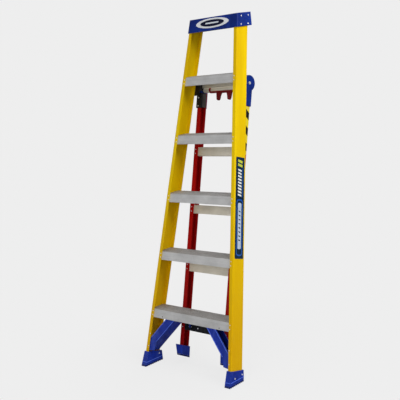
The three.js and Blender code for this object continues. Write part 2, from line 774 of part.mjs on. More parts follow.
addPair(front, "front_rail", frontRail(), yellowFibreglass).forEach((rail, i) => {
  const hand = i === 0 ? 1 : -1;
  rail.position.x = hand * FLOOR_HALF_WIDTH;
  rail.rotation.y = -hand * TAPER_ANGLE;
});
for (let n = 1; n <= TREAD_COUNT; n += 1) {
  const height = n * TREAD_SPACING;
  add(front, `tread_${n}`, tread(height), aluminium).position.z = height;
}
add(front, "top_cap", cap(), bluePlastic);
addPair(front, "wall_bumper", wallBumper(), darkRubber);
addPair(front, "front_boot", frontBoot(), royalPlastic);
addPair(front, "front_sole", frontSole(), darkRubber);
addPair(front, "knee_brace", kneeBrace(), royalPlastic);
addPair(front, "hinge_hanger", hingeHanger(), blackSteel);
add(front, "hinge_bridge", hingeBridge(), aluminium);
addPair(front, "pivot_pin", pivotPin(), zincSteel);
add(front, "hinge_cross_tube", crossTube(), aluminium);
addPair(front, "lock_bolt", lockBolt(), zincSteel);
add(front, "release_lever", releaseLever(), redPlastic);

const rear = new THREE.Group();
rear.position.set(0, PIVOT_Y, PIVOT_Z);
rear.rotation.x = REAR_TILT;
front.add(rear);

addPair(rear, "rear_rail", rearRail(), redFibreglass);
addPair(rear, "hinge_knuckle", hingeKnuckle(), bluePlastic);
addPair(rear, "knuckle_plate", knucklePlate(), blackSteel);
addPair(rear, "rail_top_plate", railTopPlate(), blackSteel);
for (let n = 1; n <= REAR_BARS; n += 1) {
  const top = REAR_BAR_FIRST - (n - 1) * REAR_BAR_SPACING;
  add(rear, `rear_bar_${n}`, rearBar(), aluminium).position.z = top;
}
addPair(rear, "rear_boot", rearBoot(), royalPlastic);
addPair(rear, "rear_sole", rearSolePad(), darkRubber);
add(rear, "catch_plate", catchPlate(), blackPlastic);
add(rear, "catch_pin", catchPin(), zincSteel);
const hook = add(rear, "transport_catch", transportCatch(), bluePlastic);
hook.position.set(CATCH_X, catchPinY, catchPinZ);
hook.rotation.x = CATCH_DROP;

// The origin is on the floor, under the middle of the ladder's bounding box.
const ladder = new THREE.Group();
ladder.add(front);
ladder.updateMatrixWorld(true);
const extent = new THREE.Box3().setFromObject(ladder, true);
front.position.set(0, -(extent.min.y + extent.max.y) / 2, -extent.min.z);

export default ladder;
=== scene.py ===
"""A six-foot glass-fibre step ladder, folded shut and leaning back, on a pale studio floor."""

import json
import math

import bmesh
import bpy
from mathutils import Matrix, Vector


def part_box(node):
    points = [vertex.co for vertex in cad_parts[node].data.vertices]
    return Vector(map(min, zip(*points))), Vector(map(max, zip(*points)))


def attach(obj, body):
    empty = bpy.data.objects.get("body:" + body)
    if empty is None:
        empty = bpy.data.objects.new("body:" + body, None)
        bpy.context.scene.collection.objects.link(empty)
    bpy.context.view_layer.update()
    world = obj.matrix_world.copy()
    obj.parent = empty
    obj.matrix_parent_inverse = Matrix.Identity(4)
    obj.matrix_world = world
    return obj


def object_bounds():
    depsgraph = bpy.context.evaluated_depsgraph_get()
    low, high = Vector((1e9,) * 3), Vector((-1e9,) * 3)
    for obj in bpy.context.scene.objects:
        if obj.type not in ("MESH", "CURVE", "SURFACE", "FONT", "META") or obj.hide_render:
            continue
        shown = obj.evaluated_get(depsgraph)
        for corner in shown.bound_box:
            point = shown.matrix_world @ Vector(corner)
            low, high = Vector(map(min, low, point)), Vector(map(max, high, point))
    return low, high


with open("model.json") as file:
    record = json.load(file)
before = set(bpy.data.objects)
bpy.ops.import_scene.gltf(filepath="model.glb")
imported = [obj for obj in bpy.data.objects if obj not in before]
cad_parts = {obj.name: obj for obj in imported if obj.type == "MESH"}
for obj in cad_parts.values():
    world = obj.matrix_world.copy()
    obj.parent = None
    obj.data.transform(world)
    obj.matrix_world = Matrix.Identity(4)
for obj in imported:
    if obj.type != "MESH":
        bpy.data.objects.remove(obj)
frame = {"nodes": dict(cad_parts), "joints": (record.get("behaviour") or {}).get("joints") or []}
cad_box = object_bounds()
nodes = frame["nodes"]
joints = {joint["name"]: joint for joint in frame["joints"]}
scene = bpy.context.scene

# ---- driving dimensions, in metres --------------------------------------------------------------

MM = 0.001
SIDES = {"right": 1, "left": -1}  # the sign of x on each side

LEAN = math.radians(16.9)  # the front rails' lean from upright
REAR_TILT = math.radians(0.37)  # the shut rear section's angle to the front rails
TAPER = 0.081  # how fast the front rails close in, per unit of height
PIVOT = Vector(joints["rear_swing"]["pos_m"])
PIVOT_IN_LADDER = Vector((0, 0.1308, 1.5657))  # the hinge in the ladder's own axes

SUNK = 0.3 * MM  # how deep a rivet or a label sits in the surface under it
RAY_START = 0.6  # how far outside the ladder a search for its surface starts
SHARP_ANGLE = math.radians(40)  # a fold sharper than this keeps a crisp edge

TREAD_COUNT, REAR_BAR_COUNT = 5, 4
TREAD_LIP = 46 * MM
STICKER = 0.25 * MM  # thickness of a label
PRINT = 0.12 * MM  # how far its print stands out

# the ladder's own axes: x across, y back from the rails' front face, z up along the rails
LADDER = (
    Matrix.Translation(PIVOT)
    @ Matrix.Rotation(-LEAN, 4, "X")
    @ Matrix.Translation(-PIVOT_IN_LADDER)
)
# the rear section's own axes, from its hinge
REAR = Matrix.Translation(PIVOT) @ Matrix.Rotation(REAR_TILT - LEAN, 4, "X")

ACROSS = Vector((1, 0, 0))
BACKWARDS = LADDER.to_3x3() @ Vector((0, 1, 0))
UPWARDS = LADDER.to_3x3() @ Vector((0, 0, 1))

# a rivet, with its flange, dome and dimple as shares of its radius and height
RIVET_RADIUS = 4.2 * MM
RIVET_HEIGHT = 1.9 * MM
SMALL_RIVET = 0.72  # the small rivets' size against the others
RIVET_SIDES = 20
FLANGE_HEIGHT = 0.16
DOME_RADIUS = 0.9
DOME_ANGLES = (90, 70, 50, 32, 18)  # where the dome's rings lie, in degrees from its top
DIMPLE = ((0.2, 0.72), (0.12, 0.55))  # the dimple's rim and its bottom, as (radius, height)

# the fastenings' spots in the ladder's own axes, in millimetres; a pair is (y, z)
CAP_RIVETS = ((26.5, 1900), (82, 1917), (26, 1855), (81.5, 1872))
EDGE_INSET = 14  # from a tread's end, or from a front rail's outer face
TREAD_RIVET_SHARES = (0.28, 0.74)  # of a tread's lip
BRACE_SCREW_X, BRACE_SCREW_RISE = 211, 9  # the rise is from the lowest tread's lower edge
BRACE_RIVET_HEIGHTS = (112, 180)
BOOT_RIVETS_OUTSIDE = ((77, 61), (23, 44))
BOOT_RIVET_INSIDE = (78, 68)
KNUCKLE_RIVET_X = 164
KNUCKLE_FRONT_HEIGHTS = (1500, 1454)
KNUCKLE_BACK_HEIGHTS = (1505, 1459)
REAR_RIVET_X = 161
PAIR_SHARES = (0.25, 0.75)  # where two rivets sit on a rear bar or a wall rest
REAR_BOOT_RIVET_DROP = 26  # from the boot's upper edge
CATCH_PLATE_RIVETS_X = (-110, -44, 44, 110)
CATCH_PLATE_RIVET_DROP = 5  # from the plate's middle

# the welts of the braces and the boots, in a pale blue that paints a highlight along them
BEAD_RADIUS = 2.0 * MM
BEAD_SIDES = 10
BRACE_TOP = Vector((101, 292))  # the ends of a knee brace's inner edge, as (x, z) in millimetres
BRACE_BEND = Vector((250, 133))
BRACE_BEADS = ((3, 210), (44, 222))  # each welt's distance from that edge, and its end along it
BRACE_BEAD_DROP = 5  # how far under the brace's top a welt starts
BRACE_BEAD_STEPS = 12
BOOT_BEAD_LEVEL = 14 * MM  # a boot's welt over the floor
BOOT_BEAD_STEPS = 48

# the cap's badge: its height in millimetres, then ovals, a bar and the levels of their faces
BADGE_Z = 1875
BADGE_RING = (0.236, 0.053)
BADGE_FIELD = (0.172, 0.036)
BADGE_BAR = (0.094, 0.0075, 0.004)  # its width, height and slant
BADGE_LEVELS = (1.2 * MM, 1.9 * MM, 2.4 * MM)
RING_CROWN, FIELD_CROWN = 0.4 * MM, 0.3 * MM
CROWN_SHARES = (0.92, 0.75, 0.5)  # where the rings of a domed top lie, from its rim in

# the rail's label and the hazard stripes, in millimetres
LABEL_LOW, LABEL_HIGH = 641, 1163
LABEL_FRONT, LABEL_BACK = 11, 76
LABEL_CORNER = 3
HAZARD_LOW, HAZARD_HIGH = 1186, 1441
HAZARD_WIDTH, HAZARD_CORNER = 37, 2
HAZARD_OFFSET = -1.6  # how far back from the hinge's line the stripes are centred
HAZARD_COUNT, HAZARD_FIRST, HAZARD_STEP = 3, 40, 82  # the first one's distance from the upper end
HAZARD_STRIPE, HAZARD_MARGIN, HAZARD_SLANT = 40, 1, 26

# materials
FOOT_TONE_HEIGHTS = (0.95, 0.1)  # the fibreglass turns a deeper, more orange tone from the first of these heights down to the second
GRIME = 0x5E5038
BEVEL_SAMPLES = 8
EDGE_COSINES = (0.995, 0.86)  # of a rounded normal's turn, where wear starts and where it is full

# studio
BACKGROUND = 0xEEEEEE
FILL = 0.3  # the backdrop's strength as a light
FLOOR_TONE = 0xF4F4F4
FLOOR_ROUGHNESS = 0.9
FLOOR_RADIUS = 60.0
FLOOR_SIDES = 96
FLOOR_DROP = 0.5 * MM  # how far the floor lies under the soles
FLOOR_FADE = (0.25, 1.1)  # distances between which the floor turns into the backdrop
FLOOR_BOUNCE = 0.5  # how much light the floor throws back up
FLOOR_GLOW = 0.9  # how much of the floor's tone no shadow can take away

# each lamp's name, azimuth, elevation, distance, size and power
LAMPS = (
    ("key", 94, 44, 3.6, 2.0, 86),
    ("front", 18, 20, 4.0, 2.4, 34),
    ("left", -50, 8, 4.5, 2.4, 14),
    ("back", 180, 35, 4.5, 3.0, 40),
    ("top", 0, 88, 4.0, 3.0, 8),
)

VIEW_AZIMUTH = math.radians(45.03)
VIEW_ELEVATION = math.radians(10.59)
VIEW_ROLL = math.radians(-7.4)
VIEW_DISTANCE = 4.401
VIEW_AIM = Vector((-0.0214, -0.0289, 0.8818))
LENS, SENSOR = 74.18, 36.0


# ---- finishes -----------------------------------------------------------------------------------


def linear(code):
    """A colour written as 0xRRGGBB, as the linear colour that a shader takes"""

    def channel(value):
        share = value / 255
        return share / 12.92 if share <= 0.04045 else ((share + 0.055) / 1.055) ** 2.4

    return (*(channel(code >> shift & 255) for shift in (16, 8, 0)), 1.0)


class Finish:
    """One procedural material: a Principled shader, and short ways to put patterns before it"""

    MIX_FIRST, MIX_SECOND, MIX_RESULT = 6, 7, 2  # the colour sockets of a Mix node

    def __init__(self, name, metallic=0.0, specular=0.5):
        self.material = bpy.data.materials.new(name)
        self.material.use_nodes = True
        self.tree = self.material.node_tree
        self.shader = self.tree.nodes["Principled BSDF"]
        self.shader.inputs["Metallic"].default_value = metallic
        self.shader.inputs["Specular IOR Level"].default_value = specular
        place = self.node("ShaderNodeTexCoord").outputs["Object"]
        turned = self.node("ShaderNodeMapping", {"Vector": place, "Rotation": (LEAN, 0, 0)})
        self.axes = turned.outputs["Vector"]

    def node(self, kind, inputs=None, **settings):
        made = self.tree.nodes.new(kind)
        for key, value in settings.items():
            setattr(made, key, value)
        for key, value in (inputs or {}).items():
            self.feed(made.inputs[key], value)
        return made

    def feed(self, socket, value):
        if isinstance(value, bpy.types.NodeSocket):
            self.tree.links.new(value, socket)
        else:
            socket.default_value = value

    def math(self, operation, first, second=0.0, third=0.0):
        inputs = {0: first, 1: second, 2: third}
        return self.node("ShaderNodeMath", inputs, operation=operation).outputs[0]

    def times(self, first, second):
        return self.math("MULTIPLY", first, second)

    def add_share(self, value, share, base):
        """A share of one value added to another"""
        return self.math("MULTIPLY_ADD", value, share, base)

    def parts(self, axes):
        """The three numbers of a vector"""
        return self.node("ShaderNodeSeparateXYZ", {0: axes}).outputs

    def rail_axes(self):
        """The ladder's axes with its taper taken out, so that z runs along both front rails"""
        x, y, z = self.parts(self.axes)
        straight = self.add_share(z, TAPER, self.math("ABSOLUTE", x))
        return self.node("ShaderNodeCombineXYZ", {0: straight, 1: y, 2: z}).outputs[0]

    def noise(self, stretch, detail, roughness, axes=None, distortion=0.0):
        """Noise with so many features to the metre along each axis, from 0 to 1"""
        inputs = {0: axes or self.axes, 1: stretch}
        scaled = self.node("ShaderNodeVectorMath", inputs, operation="MULTIPLY").outputs[0]
        inputs = {
            "Vector": scaled,
            "Scale": 1.0,
            "Detail": detail,
            "Roughness": roughness,
            "Distortion": distortion,
        }
        return self.node("ShaderNodeTexNoise", inputs).outputs["Fac"]

    def between(self, value, low, high, to_low=0.0, to_high=1.0):
        """value taken from the range low to high onto another range, and held inside it"""
        inputs = {
            "Value": value,
            "From Min": low,
            "From Max": high,
            "To Min": to_low,
            "To Max": to_high,
        }
        return self.node("ShaderNodeMapRange", inputs).outputs["Result"]

    def blend(self, factor, first, second):
        """first where factor is 0, turning into second where it is 1; each may be 0xRRGGBB"""
        first, second = (linear(c) if isinstance(c, int) else c for c in (first, second))
        inputs = {0: factor, self.MIX_FIRST: first, self.MIX_SECOND: second}
        return self.node("ShaderNodeMix", inputs, data_type="RGBA").outputs[self.MIX_RESULT]

    def rounded(self, radius):
        """Normals that bend round the sharp edges of a piece"""
        made = self.node("ShaderNodeBevel", {"Radius": radius}, samples=BEVEL_SAMPLES)
        return made.outputs["Normal"]

    def normal(self):
        return self.node("ShaderNodeNewGeometry").outputs["Normal"]

    def edges(self, soft):
        """1 along the edges that the rounded normals soft bend round, and 0 on the flats"""
        inputs = {0: soft, 1: self.normal()}
        made = self.node("ShaderNodeVectorMath", inputs, operation="DOT_PRODUCT")
        return self.between(made.outputs["Value"], *EDGE_COSINES)

    def bump(self, height, depth, normal, strength):
        inputs = {"Height": height, "Distance": depth, "Strength": strength}
        if normal:
            inputs["Normal"] = normal
        return self.node("ShaderNodeBump", inputs).outputs["Normal"]

    def streaks(self, noise, width):
        """1 along the lines where a noise passes its middle value, and 0 beside them"""
        return self.between(self.math("ABSOLUTE", self.math("SUBTRACT", noise, 0.5)), width, 0.0)

    def scratches(self, axes=None):
        """Fine scratches in two directions, 1 in a scratch and 0 beside it"""
        thin = self.streaks(self.noise((55, 240, 17), 2.0, 0.5, axes, 0.4), 0.006)
        short = self.streaks(self.noise((210, 60, 90), 2.0, 0.5, axes, 0.6), 0.008)
        patchy = self.between(self.noise((9, 9, 7), 2.0, 0.5, axes), 0.5, 0.64)
        return self.times(self.math("MAXIMUM", thin, short), patchy)

    def finish(self, color, roughness, normal):
        self.feed(self.shader.inputs["Base Color"], color)
        self.feed(self.shader.inputs["Roughness"], roughness)
        self.feed(self.shader.inputs["Normal"], normal)
        return self.material


def fibreglass(name, main, deep, pale, scuffed, foot_tone):
    """A pultruded channel: glass fibres under a resin skin, scuffed, and turning deeper and more
    orange towards its foot
    """
    made = Finish(name, specular=0.07)
    axes = made.rail_axes()
    clouds = made.noise((7, 14, 2.2), 3.0, 0.5, axes)
    fibres = made.noise((900, 900, 9), 3.0, 0.6, axes)
    veil = made.noise((260, 260, 95), 5.0, 0.65, axes)
    level = made.parts(axes)[2]
    color = made.blend(made.between(clouds, 0.3, 0.7), main, deep)
    # a deeper, more orange tone towards the rails' foot
    color = made.blend(made.between(level, *FOOT_TONE_HEIGHTS, 0.0, 0.8), color, foot_tone)
    color = made.blend(made.between(fibres, 0.5, 0.78, 0.0, 0.55), color, pale)
    color = made.blend(made.between(veil, 0.56, 0.76, 0.0, 0.5), color, deep)
    scratches = made.scratches(axes)
    scuffs = made.between(made.noise((16, 16, 10), 6.0, 0.7, axes), 0.6, 0.74, 0.0, 0.45)
    grit = made.between(made.noise((420, 420, 160), 3.0, 0.6, axes), 0.42, 0.66)
    marks = made.math("MAXIMUM", made.times(scratches, 0.5), made.times(scuffs, grit))
    color = made.blend(marks, color, scuffed)
    soft = made.rounded(1.3 * MM)
    # pale edges: partly scuffing, partly a painted highlight along the rounded edges
    edges = made.times(made.edges(soft), made.between(veil, 0.35, 0.62, 0.1, 0.75))
    color = made.blend(made.times(edges, 0.55), color, pale)
    roughness = made.between(veil, 0.3, 0.7, 0.33, 0.47)
    roughness = made.add_share(marks, 0.3, roughness)
    height = made.add_share(fibres, 0.6, made.times(veil, 0.5))
    height = made.add_share(marks, -0.6, height)
    return made.finish(color, roughness, made.bump(height, 0.12 * MM, soft, 0.55))


def extruded_aluminium(name, main, dull, bright, grime=0.0):
    """A mill-finish extrusion: die lines along x, a cloudy oxide skin, and grime on its top"""
    made = Finish(name, metallic=0.55, specular=0.5)
    lines = made.noise((1.6, 620, 620), 3.0, 0.6)
    broad_lines = made.noise((0.9, 120, 120), 2.0, 0.5)
    clouds = made.noise((12, 20, 20), 4.0, 0.6)
    grain = made.noise((700, 1400, 1400), 3.0, 0.6)
    color = made.blend(made.between(clouds, 0.32, 0.7), main, dull)
    color = made.blend(made.between(lines, 0.4, 0.72, 0.0, 0.35), color, bright)
    color = made.blend(made.between(broad_lines, 0.5, 0.72, 0.0, 0.28), color, dull)
    scratches = made.scratches()
    soft = made.rounded(0.9 * MM)
    # bright edges: partly rubbed wear, partly a painted highlight
    edges = made.times(made.edges(soft), 0.5)
    color = made.blend(made.math("MAXIMUM", made.times(scratches, 0.65), edges), color, bright)
    if grime:
        facing = made.between(made.parts(made.normal())[2], 0.7, 0.95, 0.0, grime)
        trodden = made.between(made.noise((14, 26, 26), 5.0, 0.65), 0.3, 0.66, 0.55, 1.0)
        color = made.blend(made.times(facing, trodden), color, GRIME)
    roughness = made.between(clouds, 0.3, 0.7, 0.4, 0.56)
    roughness = made.add_share(grain, 0.12, roughness)
    roughness = made.add_share(scratches, -0.12, roughness)
    height = made.add_share(lines, 0.5, made.times(grain, 0.35))
    height = made.add_share(scratches, -0.5, height)
    return made.finish(color, roughness, made.bump(height, 0.1 * MM, soft, 0.5))


def moulded_plastic(name, main, deep, pale, roughness, grain_depth=0.14, round_radius=1.8):
    """Moulded plastic with a fine leathery grain, flow marks, scratches, and pale edges that are
    partly rubbed wear and partly a painted highlight
    """
    made = Finish(name, specular=0.16)
    clouds = made.noise((11, 11, 11), 4.0, 0.55)
    grain = made.noise((1100, 1100, 1100), 3.0, 0.6)
    flow = made.noise((22, 22, 5), 3.0, 0.5, None, 0.7)
    soft = made.rounded(round_radius * MM)
    # pale edges: partly rubbed wear, partly a painted highlight
    rubbed_and_highlit = made.times(made.edges(soft), made.between(clouds, 0.3, 0.6, 0.35, 1.0))
    scratches = made.scratches()
    color = made.blend(made.between(clouds, 0.3, 0.72), main, deep)
    color = made.blend(made.between(flow, 0.52, 0.75, 0.0, 0.25), color, pale)
    color = made.blend(made.times(rubbed_and_highlit, 0.7), color, pale)
    color = made.blend(made.times(scratches, 0.35), color, pale)
    rough = made.between(clouds, 0.3, 0.7, roughness - 0.06, roughness + 0.08)
    rough = made.add_share(rubbed_and_highlit, -0.1, rough)
    height = made.add_share(grain, 0.7, made.times(scratches, -0.6))
    return made.finish(color, rough, made.bump(height, grain_depth * MM, soft, 0.5))


def rubber(name, main, pale_tone):
    """Matt rubber, dusty, and pale along its edges, partly from wear and partly as a painted
    highlight
    """
    made = Finish(name, specular=0.25)
    grain = made.noise((600, 600, 600), 4.0, 0.65)
    dust = made.noise((40, 40, 40), 5.0, 0.65)
    soft = made.rounded(0.8 * MM)
    marks = made.between(dust, 0.5, 0.72, 0.0, 0.5)
    # dust patches, and pale edges that are partly wear and partly a painted highlight
    marks = made.math("MAXIMUM", marks, made.times(made.edges(soft), 0.35))
    color = made.blend(marks, main, pale_tone)
    roughness = made.between(grain, 0.3, 0.7, 0.72, 0.92)
    return made.finish(color, roughness, made.bump(grain, 0.25 * MM, soft, 0.6))


def plated_steel(name, main, dull, bright):
    """Zinc-plated steel: a faint crystalline spangle, dull patches, and bright edges that are
    partly rubbed wear and partly a painted highlight
    """
    made = Finish(name, metallic=0.6)
    inputs = {"Vector": made.axes, "Scale": 150.0}
    spangle = made.node("ShaderNodeTexVoronoi", inputs, feature="F1").outputs["Color"]
    spangle = made.parts(spangle)[0]
    clouds = made.noise((25, 25, 25), 5.0, 0.6)
    grain = made.noise((900, 900, 900), 3.0, 0.6)
    soft = made.rounded(0.8 * MM)
    color = made.blend(made.between(clouds, 0.35, 0.7), main, dull)
    color = made.blend(made.times(spangle, 0.22), color, bright)
    # bright edges: partly rubbed wear, partly a painted highlight
    color = made.blend(made.times(made.edges(soft), 0.6), color, bright)
    roughness = made.between(spangle, 0.0, 1.0, 0.28, 0.42)
    roughness = made.add_share(clouds, 0.12, roughness)
    return made.finish(color, roughness, made.bump(grain, 0.08 * MM, soft, 0.4))


def painted_steel(name, main, deep, bare_and_highlight_tone):
    """A coated pressing: a faintly pebbled coat, clouded, scratched, and pale at its edges, partly
    chipped and partly a painted highlight
    """
    made = Finish(name, metallic=0.15, specular=0.3)
    clouds = made.noise((30, 30, 30), 4.0, 0.6)
    pebbles = made.noise((520, 520, 520), 3.0, 0.55)
    soft = made.rounded(0.9 * MM)
    # pale spots along the edges: partly chipped coat, partly a painted highlight
    chips_and_highlight = made.times(made.edges(soft), made.between(pebbles, 0.45, 0.6))
    color = made.blend(made.between(clouds, 0.35, 0.7), main, deep)
    color = made.blend(made.times(chips_and_highlight, 0.6), color, bare_and_highlight_tone)
    color = made.blend(made.times(made.scratches(), 0.4), color, bare_and_highlight_tone)
    roughness = made.between(clouds, 0.3, 0.7, 0.38, 0.52)
    return made.finish(color, roughness, made.bump(pebbles, 0.12 * MM, soft, 0.5))


def turned_rivet(name, main, tarnished):
    """A bright aluminium rivet, faintly tarnished"""
    made = Finish(name, metallic=0.45)
    tarnish = made.noise((160, 160, 160), 4.0, 0.6)
    grain = made.noise((1500, 1500, 1500), 2.0, 0.5)
    color = made.blend(made.between(tarnish, 0.4, 0.7), main, tarnished)
    roughness = made.between(tarnish, 0.35, 0.7, 0.26, 0.44)
    return made.finish(color, roughness, made.bump(grain, 0.05 * MM, None, 0.4))


def printed_vinyl(name, main, faded):
    """A printed vinyl film: slight fading, an orange-peel skin and fine scratches"""
    made = Finish(name, specular=0.14)
    fading = made.noise((18, 18, 8), 4.0, 0.6)
    skin = made.noise((420, 420, 420), 2.0, 0.5)
    scratches = made.scratches()
    color = made.blend(made.between(fading, 0.42, 0.78), main, faded)
    color = made.blend(made.times(scratches, 0.4), color, faded)
    roughness = made.between(fading, 0.3, 0.7, 0.28, 0.42)
    height = made.add_share(scratches, -0.5, skin)
    return made.finish(color, roughness, made.bump(height, 0.08 * MM, None, 0.4))


RECIPES = {
    "yellow_fibreglass": (fibreglass, 0xF8D400, 0xE2B800, 0xF8D818, 0xC09A34, 0xE8AE00),
    "red_fibreglass": (fibreglass, 0xCC0A0C, 0x9C0408, 0xDC2420, 0xA84038, 0x9C0406),
    "blue_plastic": (moulded_plastic, 0x042E8C, 0x021E68, 0x2C50C4, 0.44),
    "royal_blue_plastic": (moulded_plastic, 0x1C3CB8, 0x0E2684, 0x5C78E4, 0.38),
    "black_plastic": (moulded_plastic, 0x191A1E, 0x101114, 0x55565C, 0.45),
    "red_plastic": (moulded_plastic, 0x8C1218, 0x6E0C12, 0xC04A4A, 0.4, 0.12, 1.2),
    "sole_rubber": (rubber, 0x16256E, 0x3C4674),
    "tread_aluminium": (extruded_aluminium, 0xD4D4D4, 0xBEBEBE, 0xECECEC, 0.6),
    "bar_aluminium": (extruded_aluminium, 0xF0EADA, 0xDCD6C6, 0xFAF6EA),
    "zinc_steel": (plated_steel, 0xDCDEE2, 0xB4B7BC, 0xF4F6FA),
    "black_steel": (painted_steel, 0x1C1A20, 0x121116, 0x6A6A6E),
    "rivet_metal": (turned_rivet, 0xFAFAFC, 0xD0D2D6),
    "label_vinyl": (printed_vinyl, 0x06243E, 0x123650),
    "badge_white": (printed_vinyl, 0xEDEFF2, 0xD5D9DE),
    "ink_white": (printed_vinyl, 0xF2F4F2, 0xD2D8DA),
    "ink_lime": (printed_vinyl, 0xD6DC2C, 0xBCC45C),
    "ink_blue": (printed_vinyl, 0x1C54B8, 0x3C6CB4),
    "ink_pale_blue": (printed_vinyl, 0xC6D4E8, 0xA8BCD8),
    # pale blue for the welts: a painted highlight along the braces' flanges and round the boots'
    # lower edge
    "highlight_blue": (moulded_plastic, 0x5C7CEC, 0x4462D8, 0x9CB4FA, 0.3),
    # a darker grey steel than the zinc: painted shade for the plates that sit inside the rails'
    # channels under the hinge
    "shade_dark_steel": (painted_steel, 0x5C5654, 0x46413F, 0x8C8A88),
    "hazard_yellow": (printed_vinyl, 0xF4DC10, 0xDCCB60),
    "hazard_black": (printed_vinyl, 0x0C0E12, 0x22252A),
    "badge_navy": (printed_vinyl, 0x080C2C, 0x14193C),
    "badge_grey": (printed_vinyl, 0xE4EAF2, 0xC4CCD8),
}
finishes = {name: make(name, *values) for name, (make, *values) in RECIPES.items()}

for node in nodes.values():
    slot = node.material_slots[0].material.name.split(".")[0]
    node.material_slots[0].material = finishes[slot]
# the rail top plates take the darker steel, which is painted shade
for side in SIDES:
    nodes[f"rail_top_plate_{side}"].material_slots[0].material = finishes["shade_dark_steel"]


# ---- helpers ------------------------------------------------------------------------------------


def at(x, y, z):
    """A point given in millimetres in the ladder's own axes"""
    return LADDER @ (Vector((x, y, z)) * MM)


def ladder_box(node):
    """A CAD piece's lowest and highest corners in the ladder's own axes"""
    back = LADDER.inverted()
    corners = [back @ vertex.co for vertex in nodes[node].data.vertices]
    return Vector(map(min, zip(*corners))), Vector(map(max, zip(*corners)))


def surface(node, through, direction):
    """Where a line through a point first meets a CAD piece, and the normal of its face there"""
    hit, place, normal, _ = nodes[node].ray_cast(through - direction * RAY_START, direction)
    if not hit:
        raise RuntimeError(f"no surface of {node} on the line through {tuple(through)}")
    return place, normal


def piece(name, shape, body, materials):
    """A bmesh in the row frame made into a piece that rides on a body"""
    mesh = bpy.data.meshes.new(name)
    bmesh.ops.recalc_face_normals(shape, faces=shape.faces)
    shape.to_mesh(mesh)
    shape.free()
    for material in materials:
        mesh.materials.append(finishes[material])
    for face in mesh.polygons:
        face.use_smooth = True
    mesh.set_sharp_from_angle(angle=SHARP_ANGLE)
    made = bpy.data.objects.new(name, mesh)
    scene.collection.objects.link(made)
    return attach(made, body)


def turns(count):
    """Angles that share out a full turn"""
    return [2 * math.pi * i / count for i in range(count)]


def add_ring(shape, centre, first, second, radius, sides):
    return [
        shape.verts.new(centre + (first * math.cos(turn) + second * math.sin(turn)) * radius)
        for turn in turns(sides)
    ]


def add_band(shape, lower, upper):
    """Faces between two rings of as many corners"""
    count = len(lower)
    pairs = [(i, (i + 1) % count) for i in range(count)]
    return [shape.faces.new((lower[i], lower[j], upper[j], upper[i])) for i, j in pairs]


def add_rivet(shape, place, normal, size):
    """A blind rivet: a thin flange under a dome, dimpled where its stem has broken off"""
    radius, height = RIVET_RADIUS * size, RIVET_HEIGHT * size
    first = normal.orthogonal().normalized()
    second = normal.cross(first)
    section = [(radius, -SUNK), (radius, height * FLANGE_HEIGHT)]
    for angle in map(math.radians, DOME_ANGLES):
        lift = FLANGE_HEIGHT + (1 - FLANGE_HEIGHT) * math.cos(angle)
        section.append((radius * DOME_RADIUS * math.sin(angle), height * lift))
    section += [(radius * out, height * lift) for out, lift in DIMPLE]
    rings = [
        add_ring(shape, place + normal * lift, first, second, out, RIVET_SIDES)
        for out, lift in section
    ]
    for lower, upper in zip(rings, rings[1:]):
        add_band(shape, lower, upper)
    shape.faces.new(reversed(rings[0]))
    shape.faces.new(rings[-1])


def rivets(name, body, places, size=1.0, slot="rivet_metal"):
    """Rivets of one kind as one piece; each place is (node, point, direction of the search)"""
    shape = bmesh.new()
    for node, through, direction in places:
        add_rivet(shape, *surface(node, through, direction), size)
    return piece(name, shape, body, [slot])


def add_plate(shape, place, first, second, outline, low, high, material=0, crown=0.0):
    """A thin plate from low to high over its place; crown is how far its top is domed

    The outline is given along first and second.
    """
    normal = first.cross(second)

    def ring(share, lift):
        return [
            shape.verts.new(place + first * (x * share) + second * (y * share) + normal * lift)
            for x, y in outline
        ]

    bottom, edge = ring(1, low), ring(1, high)
    faces = [shape.faces.new(reversed(bottom)), *add_band(shape, bottom, edge)]
    for share in CROWN_SHARES if crown else ():
        inner = ring(share, high + crown * (1 - share * share))
        faces += add_band(shape, edge, inner)
        edge = inner
    faces.append(shape.faces.new(edge))
    for face in faces:
        face.material_index = material


def rounded_rectangle(width, height, radius, steps=5):
    corners = []
    for turn, (x, y) in enumerate([(1, 1), (-1, 1), (-1, -1), (1, -1)]):
        middle_x, middle_y = x * (width / 2 - radius), y * (height / 2 - radius)
        for step in range(steps + 1):
            angle = math.pi / 2 * (turn + step / steps)
            corner = (middle_x + radius * math.cos(angle), middle_y + radius * math.sin(angle))
            corners.append(corner)
    return corners


def oval(width, height, steps=48):
    return [(width / 2 * math.cos(turn), height / 2 * math.sin(turn)) for turn in turns(steps)]


def slanted(width, height, slant):
    """A bar that leans over by slant from its lower edge to its upper one"""
    return [
        (-(width + slant) / 2, -height / 2),
        ((width - slant) / 2, -height / 2),
        ((width + slant) / 2, height / 2),
        ((slant - width) / 2, height / 2),
    ]


# ---- fastenings ---------------------------------------------------------------------------------


def cap_rivets(side, sign):
    places = [("top_cap", at(0, y, z), -ACROSS * sign) for y, z in CAP_RIVETS]
    rivets(f"cap_rivets_{side}", "front_section", places)


def tread_rivets(side, sign):
    """Two rivets through each rail flange at each tread's lip, in front and behind"""
    rail = f"front_rail_{side}"
    for number in range(1, TREAD_COUNT + 1):
        low, high = ladder_box(f"tread_{number}")
        x = sign * (high.x - EDGE_INSET * MM)
        places = []
        for share in TREAD_RIVET_SHARES:
            front = Vector((x, low.y, low.z + TREAD_LIP * share))
            behind = Vector((x, high.y, high.z - TREAD_LIP * share))
            places.append((rail, LADDER @ front, BACKWARDS))
            places.append((rail, LADDER @ behind, -BACKWARDS))
        rivets(f"tread_{number}_rivets_{side}", "front_section", places, SMALL_RIVET)


